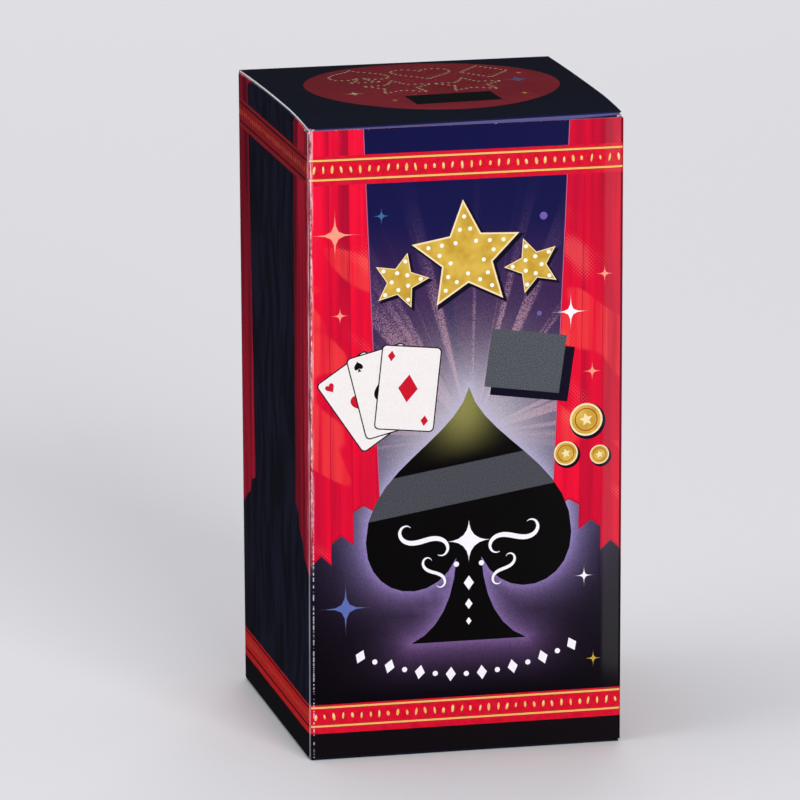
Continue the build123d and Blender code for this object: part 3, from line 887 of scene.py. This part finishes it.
def make_walls():
    front, back = wall_place((0, -1), (1, 0)), wall_place((0, 1), (-1, 0))
    left, right = wall_place((-1, 0), (0, -1)), wall_place((1, 0), (0, 1))
    make_wall("front_panel", "printed_front", front, FRONT_LOW.z, FRONT_HIGH.z + FRONT_RISE, draw_main)
    make_wall("back_panel", "printed_front", back, BACK_LOW.z, BACK_HIGH.z, draw_main)
    for name, place, way in (("left_panel", left, 1), ("right_panel", right, -1)):
        make_wall(name, "printed_side", place, SIDE_LOW.z, SIDE_HIGH.z, lambda sheet: draw_side(sheet, way))


# ---------------- the top lid, its tuck flap and the dust flaps
def crown(y):
    """How far the sprung lid rises above the carton's height."""
    span = np.where(y > CREST_Y, HALF - CREST_Y, CREST_Y - LID_LOW.y)
    return (LID_HIGH.z - HEIGHT) * (1 - ((y - CREST_Y) / span) ** 2)


def lid_profile(steps=14):
    """From the back crease over the crown, round the nose and down the tuck flap: points (y, z)."""
    slope = 2 * (LID_HIGH.z - HEIGHT) / (CREST_Y - LID_LOW.y)
    rear, fore = np.linspace(HALF, CREST_Y, steps), np.linspace(CREST_Y, LID_LOW.y + NOSE_R, steps)
    ys = np.concatenate([rear, fore[1:]])
    zs = HEIGHT + crown(ys)
    start = math.atan(slope)
    centre = (ys[-1] + NOSE_R * math.sin(start), zs[-1] - NOSE_R * math.cos(start))
    turns = np.linspace(start, math.pi / 2 + TUCK_LEAN, steps)[1:]
    nose = np.column_stack([centre[0] - NOSE_R * np.sin(turns), centre[1] + NOSE_R * np.cos(turns)])
    down = np.array([math.tan(TUCK_LEAN), -1.0]) * (nose[-1][1] - TUCK_LOW.z)
    return np.vstack([np.column_stack([ys, zs]), nose, nose[-1] + down])


LID_PROFILE = lid_profile()
LID_WAYS = np.concatenate([[0], np.cumsum(np.linalg.norm(np.diff(LID_PROFILE, axis=0), axis=1))])
NOSE_WAY = LID_WAYS[-2]  # the tuck flap starts here


def lid_place(points):
    """Bends the lid and tuck flap, drawn flat with the back crease at v = 0 and the tuck flap lowest."""
    way = -points[:, 1]
    y, z = (np.interp(way, LID_WAYS, LID_PROFILE[:, k]) for k in (0, 1))
    slopes = np.gradient(LID_PROFILE, LID_WAYS, axis=0)
    slopes[-1] = slopes[-2] = LID_PROFILE[-1] - LID_PROFILE[-2]
    slopes /= np.linalg.norm(slopes, axis=1)[:, None]
    ty, tz = (np.interp(way, LID_WAYS, slopes[:, k]) for k in (0, 1))
    to_right = np.clip((points[:, 0] - LIFT_FROM_X) / (HALF - LIFT_FROM_X), 0, 1)
    to_front = np.clip((HALF - y) / (2 * HALF), 0, 1)
    lift = RIGHT_LIFT * to_right**2 * np.where(way > NOSE_WAY, 1.0, to_front**3)
    normals = np.column_stack([0 * y, tz, -ty]) / np.hypot(ty, tz)[:, None]
    return np.column_stack([points[:, 0], y, z + lift]), normals


def make_lid():
    """The top lid with its tuck flap: near-black, with a dark red disc, gold dots and a few glints."""
    left, right, end, r = LID_LOW.x, LID_HIGH.x, LID_WAYS[-1], TUCK_CORNER_R
    tuck = [(TUCK_LOW.x, -NOSE_WAY)] + arc((TUCK_LOW.x + r, -end + r), r, 180, 270)
    tuck += arc((TUCK_HIGH.x - r, -end + r), r, 270, 360) + [(TUCK_HIGH.x, -NOSE_WAY)]
    cut = 0.6  # the lid's front corners are cut, to clear the walls as the tuck flap folds inwards
    corner = [(cut, 0.15 - NOSE_WAY), (0, cut - NOSE_WAY), (0, 0)]
    outline = [(left + u, v) for u, v in reversed(corner)] + tuck + [(right - u, v) for u, v in corner]
    sheet = Sheet(outline, "lid_ground")
    middle = (DISC_CENTRE[0], DISC_CENTRE[1] - HALF)
    sheet.paint("lid_disc", circle(middle, DISC_R, 72))
    dotted = (
        (spade(), (-12.5, 12.5), 7.4), (heart(), (1.0, 13.0), 7.0), (diamond(), (13.5, 12.5), 7.0),
        (star(), (-7.0, -1.5), 7.4), (star(), (7.5, -1.5), 7.4),
    )
    for shape, at, size in dotted:
        paint_bulbs(sheet, "lid_dot", moved(moved(shape, at, size), middle), 0.33, 1.35)
    label_at = (middle[0] + 1.0, middle[1] - 15.0)
    sheet.paint("lid_black", moved(rectangle(-9.0, -4.5, 9.0, 4.5), label_at, 1, 4))
    glints = (
        ("teal", (18.0, 1.5), 5.0), ("lid_dot", (-17.5, -6.5), 3.4),
        ("gold", (16.0, -13.5), 2.2), ("pink", (20.0, 9.0), 1.8), ("gold", (-11.0, -15.0), 1.6),
    )
    for ink, at, size in glints:
        paint_glint(sheet, ink, moved([at], middle)[0], size)
    # Navy over the nose and down the tuck flap, lighter than the lid's ground: on the rounded nose partly
    # painted light caught by the fold.
    sheet.paint("lid_fold", rectangle(left, -end, right, -NOSE_WAY + 1.1))
    # A thin pale strip along the lid's rounded nose: a painted highlight.
    sheet.paint("lid_shine", rectangle(left, -NOSE_WAY, right, -NOSE_WAY + 0.3))
    for way in LID_WAYS[1:-1]:
        sheet.fold((left - OVER, -way), (right + OVER, -way), CROSSWAYS)
    piece = board_piece("top_lid_print", sheet, lid_place, BOARD_EDGE, grid=3.0)
    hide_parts("top_lid_panel", "top_tuck_flap")
    corner = Vector((0, -1, -1)) * NOSE_R * MM
    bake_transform(piece)


def dust_place(side):
    """Springs a dust flap up from its wall to the lid. It is drawn flat with the crease at v = 0."""

    def place(points):
        y, reach = side * points[:, 0], points[:, 1]
        rise = np.maximum(HEIGHT + crown(y) - BOARD - UNDER_LID - DUST_HIGH.z, 0.05)
        spring = np.exp(-SPRING * reach / rise)
        z = DUST_HIGH.z + rise * (1 - spring) - DUST_DROOP * reach
        slope = SPRING * spring - DUST_DROOP
        size = np.hypot(slope, 1)
        normals = np.column_stack([side * slope / size, 0 * y, 1 / size])
        return np.column_stack([side * (HALF - reach), y, z]), normals

    return place


def make_dust_flap(name, body, side):
    """A top dust flap: bare coated board, with the wall's print running a little way over its crease."""
    front, rear, length, r = DUST_LOW.y + DUST_SETBACK, DUST_HIGH.y, DUST_HIGH.x - DUST_LOW.x, DUST_CORNER_R
    inner_rear = rear - DUST_TAPER * length
    slant = math.degrees(math.atan(DUST_TAPER))
    rear_corner = inner_rear - r * math.tan(math.radians(45 + slant / 2)) + r * 0.6
    outline = [(rear, 0)] + arc((rear_corner, length - r), r, slant, 90)
    outline += arc((front + r, length - r), r, 90, 180) + [(front, 0)]
    sheet = Sheet([(side * y, reach) for y, reach in outline], "coated")
    sheet.paint("side_night", rectangle(-HALF, -OVER, HALF, PRINT_BLEED))
    # The maroon on the flap's bleed is darker in part as painted shade, like the side walls' stripes.
    stripes = ((front - OVER, NEAR_STRIPE - HALF, 1.4), (rear + OVER, HALF - FAR_STRIPE, PRINT_BLEED))
    for outer, inner, end in stripes:
        stripe = [(outer, -OVER), (outer, end), (inner, end), (inner, -OVER)]
        sheet.paint("maroon", [(side * y, reach) for y, reach in stripe])
    for reach in (0.04, 0.09, 0.15, 0.22, 0.32, 0.45, 0.65, 0.9, 1.3, 2.0):
        sheet.fold((-HALF, reach), (HALF, reach), CROSSWAYS)
    piece = board_piece(name + "_print", sheet, dust_place(side), BOARD_EDGE, grid=3.0)
    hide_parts(name)
    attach(piece, body)


# ---------------- pieces that keep their CAD shape
def two_sided_board(name, outside, way):
    """Board printed all over but on the side facing into the carton: down for way 1 and up for -1."""
    material, shader, b = new_material(name)
    fibres = b.all_over(3.0, detail=5.0, roughness=0.7)
    raw = b.ramp(fibres, (0.3, (198, 192, 182)), (0.65, (228, 224, 216)))
    printed = (b.upward * way).rise(-0.95, -0.85)
    settle(shader, {"Base Color": b.mix(printed, raw, outside), "Roughness": printed * -0.55 + 0.85})
    add_bump(shader, fibres, 0.05, 0.5)
    return material


def moulded(name, colour, roughness, metallic=0.0, grain=1.0, relief=0.1, coat=0.0):
    """A material with a little uneven colour, polish and surface."""
    material, shader, b = new_material(name)
    cloud = b.all_over(grain, detail=4.0)
    darker, lighter = [c * 0.9 for c in colour], [min(255, c * 1.08) for c in colour]
    settle(shader, {"Base Color": b.ramp(cloud, (0.3, darker), (0.7, lighter))})
    settle(shader, {"Roughness": cloud * 0.2 + (roughness - 0.1), "Metallic": metallic})
    settle(shader, {"Coat Weight": coat, "Coat Roughness": 0.1})
    add_bump(shader, cloud, 0.1, relief)
    return material


def dress(material, *nodes):
    for node in nodes:
        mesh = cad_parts[node].data
        mesh.materials.clear()
        mesh.materials.append(material)


def dress_contents():
    black_plastic = moulded("black_plastic", (22, 22, 26), 0.28, grain=0.6, coat=0.4)
    red_plastic = moulded("red_plastic", (150, 18, 28), 0.30, grain=0.6, coat=0.4)
    steel = moulded("bright_steel", (170, 170, 176), 0.32, metallic=1.0, grain=3.0)
    dress(black_plastic, "coin_box_sleeve", "coin_box_end_cap")
    dress(red_plastic, "drawer_tray", "drawer_face_plate", "secret_flap")
    dress(moulded("knob_brass", (214, 170, 92), 0.25, metallic=1.0, grain=2.0), "drawer_knob")
    dress(steel, "knob_screw", "flap_hinge_pin")
    dress(moulded("felt", (18, 40, 26), 0.95, grain=9.0, relief=1.0), "drawer_felt_pad")
    dress(moulded("coin_metal", (206, 160, 84), 0.35, metallic=1.0, grain=1.5), "coins")
    dress(moulded("leaflet_paper", (238, 236, 228), 0.8, grain=2.5), "instruction_leaflet")


def dress_flaps():
    bottom = two_sided_board("flap_board_bottom", (22, 20, 28), -1)
    dress(bottom, "bottom_dust_flap_left", "bottom_dust_flap_right", "bottom_lid_panel")
    dress(PRINTS["lid_ground"], "bottom_tuck_flap")
    dress(BOARD_INSIDE, "glue_flap")


# ---------------- stage, light and camera
def make_floor():
    size = 6.0
    mesh = bpy.data.meshes.new("floor")
    corners = [(u, v, 0) for u, v in rectangle(-size, -size, size, size)]
    mesh.from_pydata(corners, [], [(0, 1, 2, 3)])
    floor = add_object("floor", mesh)
    material, shader, _ = new_material("floor")
    settle(shader, {"Base Color": (0.88, 0.88, 0.90, 1), "Roughness": 0.9, "Specular IOR Level": 0.1})
    mesh.materials.append(material)
    floor.visible_glossy = False


def make_light(name, at, target, size, power, height=None):
    data = bpy.data.lights.new(name, "AREA")
    data.shape, data.size, data.size_y, data.energy = "RECTANGLE", size, height or size, power
    lamp = add_object(name, data)
    lamp.location = at
    lamp.rotation_euler = (Vector(target) - Vector(at)).to_track_quat("-Z", "Y").to_euler()
    return lamp


def make_lights():
    middle = (0, 0, 0.065)
    make_light("overhead", (-0.3, 0.2, 2.0), middle, 1.6, 11)
    lamps = (
        ("key", (0.4, -2.1, 0.9), 1.0, 31), ("left_fill", (-2.0, -0.4, 0.8), 1.4, 13),
        ("back_fill", (0.5, 2.0, 1.0), 1.4, 16),
    )
    for name, at, size, power in lamps:
        make_light(name, at, middle, size, power).visible_glossy = False
    sheen = make_light("key_sheen", (0.4, -2.1, 0.9), middle, 1.0, 1.6)
    card = make_light("edge_card", (0.144, -0.289, 0.03), (0.0325, -0.0325, 0.07), 0.084, 0.036, 0.18)
    for seen_in_varnish in (sheen, card):
        seen_in_varnish.visible_camera = seen_in_varnish.visible_diffuse = False


def make_world():
    """Pale to the camera, dimmer as light on the part, and dark where its varnish would mirror it."""
    world = bpy.data.worlds.new("studio")
    bpy.context.scene.world = world
    world.use_nodes = True
    tree = world.node_tree
    paths = tree.nodes.new("ShaderNodeLightPath")
    colour = (0.22, 0.22, 0.24, 1)
    for ray, seen in (("Is Glossy Ray", (0.012, 0.012, 0.014, 1)), ("Is Camera Ray", (0.80, 0.80, 0.82, 1))):
        mix = tree.nodes.new("ShaderNodeMix")
        mix.data_type = "RGBA"
        tree.links.new(paths.outputs[ray], mix.inputs["Factor"])
        feed(socket_of(mix.inputs, "A_Color"), colour)
        feed(socket_of(mix.inputs, "B_Color"), seen)
        colour = Value(tree, socket_of(mix.outputs, "Result_Color"))
    settle(tree.nodes["Background"], {"Color": colour})


def make_camera():
    """Fitted to the carton's corners in the photograph."""
    azimuth, elevation = math.radians(-13.09), math.radians(13.53)
    distance, focal_px, image_px, sensor = 1.578, 7691.0, 800.0, 36.0
    seen_at = (430.0, 403.7)  # where the target lies in the photograph
    target = Vector((0, 0, 0.065))
    level = math.cos(elevation)
    back = Vector((math.sin(azimuth) * level, -math.cos(azimuth) * level, math.sin(elevation)))
    data = bpy.data.cameras.new("camera")
    data.sensor_width, data.lens = sensor, focal_px / image_px * sensor
    data.shift_x = (image_px / 2 - seen_at[0]) / image_px
    data.shift_y = (seen_at[1] - image_px / 2) / image_px
    data.clip_start, data.clip_end = 0.01, 50
    camera = add_object("camera", data)
    camera.location = target + back * distance
    camera.rotation_euler = (-back).to_track_quat("-Z", "Y").to_euler()
    bpy.context.scene.camera = camera


make_camera()
make_world()
make_floor()
make_lights()
bpy.context.scene.view_settings.view_transform = "Standard"

PRINTS = {name: varnished(name, ink) for name, ink in INKS.items()}
BOARD_EDGE = raw_board("board_edge", (250, 248, 250), 6.0)
# The walls' cut edges are a mauve grey, darker than bare board.
MAUVE_EDGE = raw_board("mauve_edge", (150, 116, 142), 6.0)
BOARD_INSIDE = raw_board("board_inside", (232, 227, 218))

make_walls()
make_lid()
make_dust_flap("top_dust_flap_left", "top_dust_left", -1)
make_dust_flap("top_dust_flap_right", "top_dust_right", 1)
dress_flaps()
dress_contents()
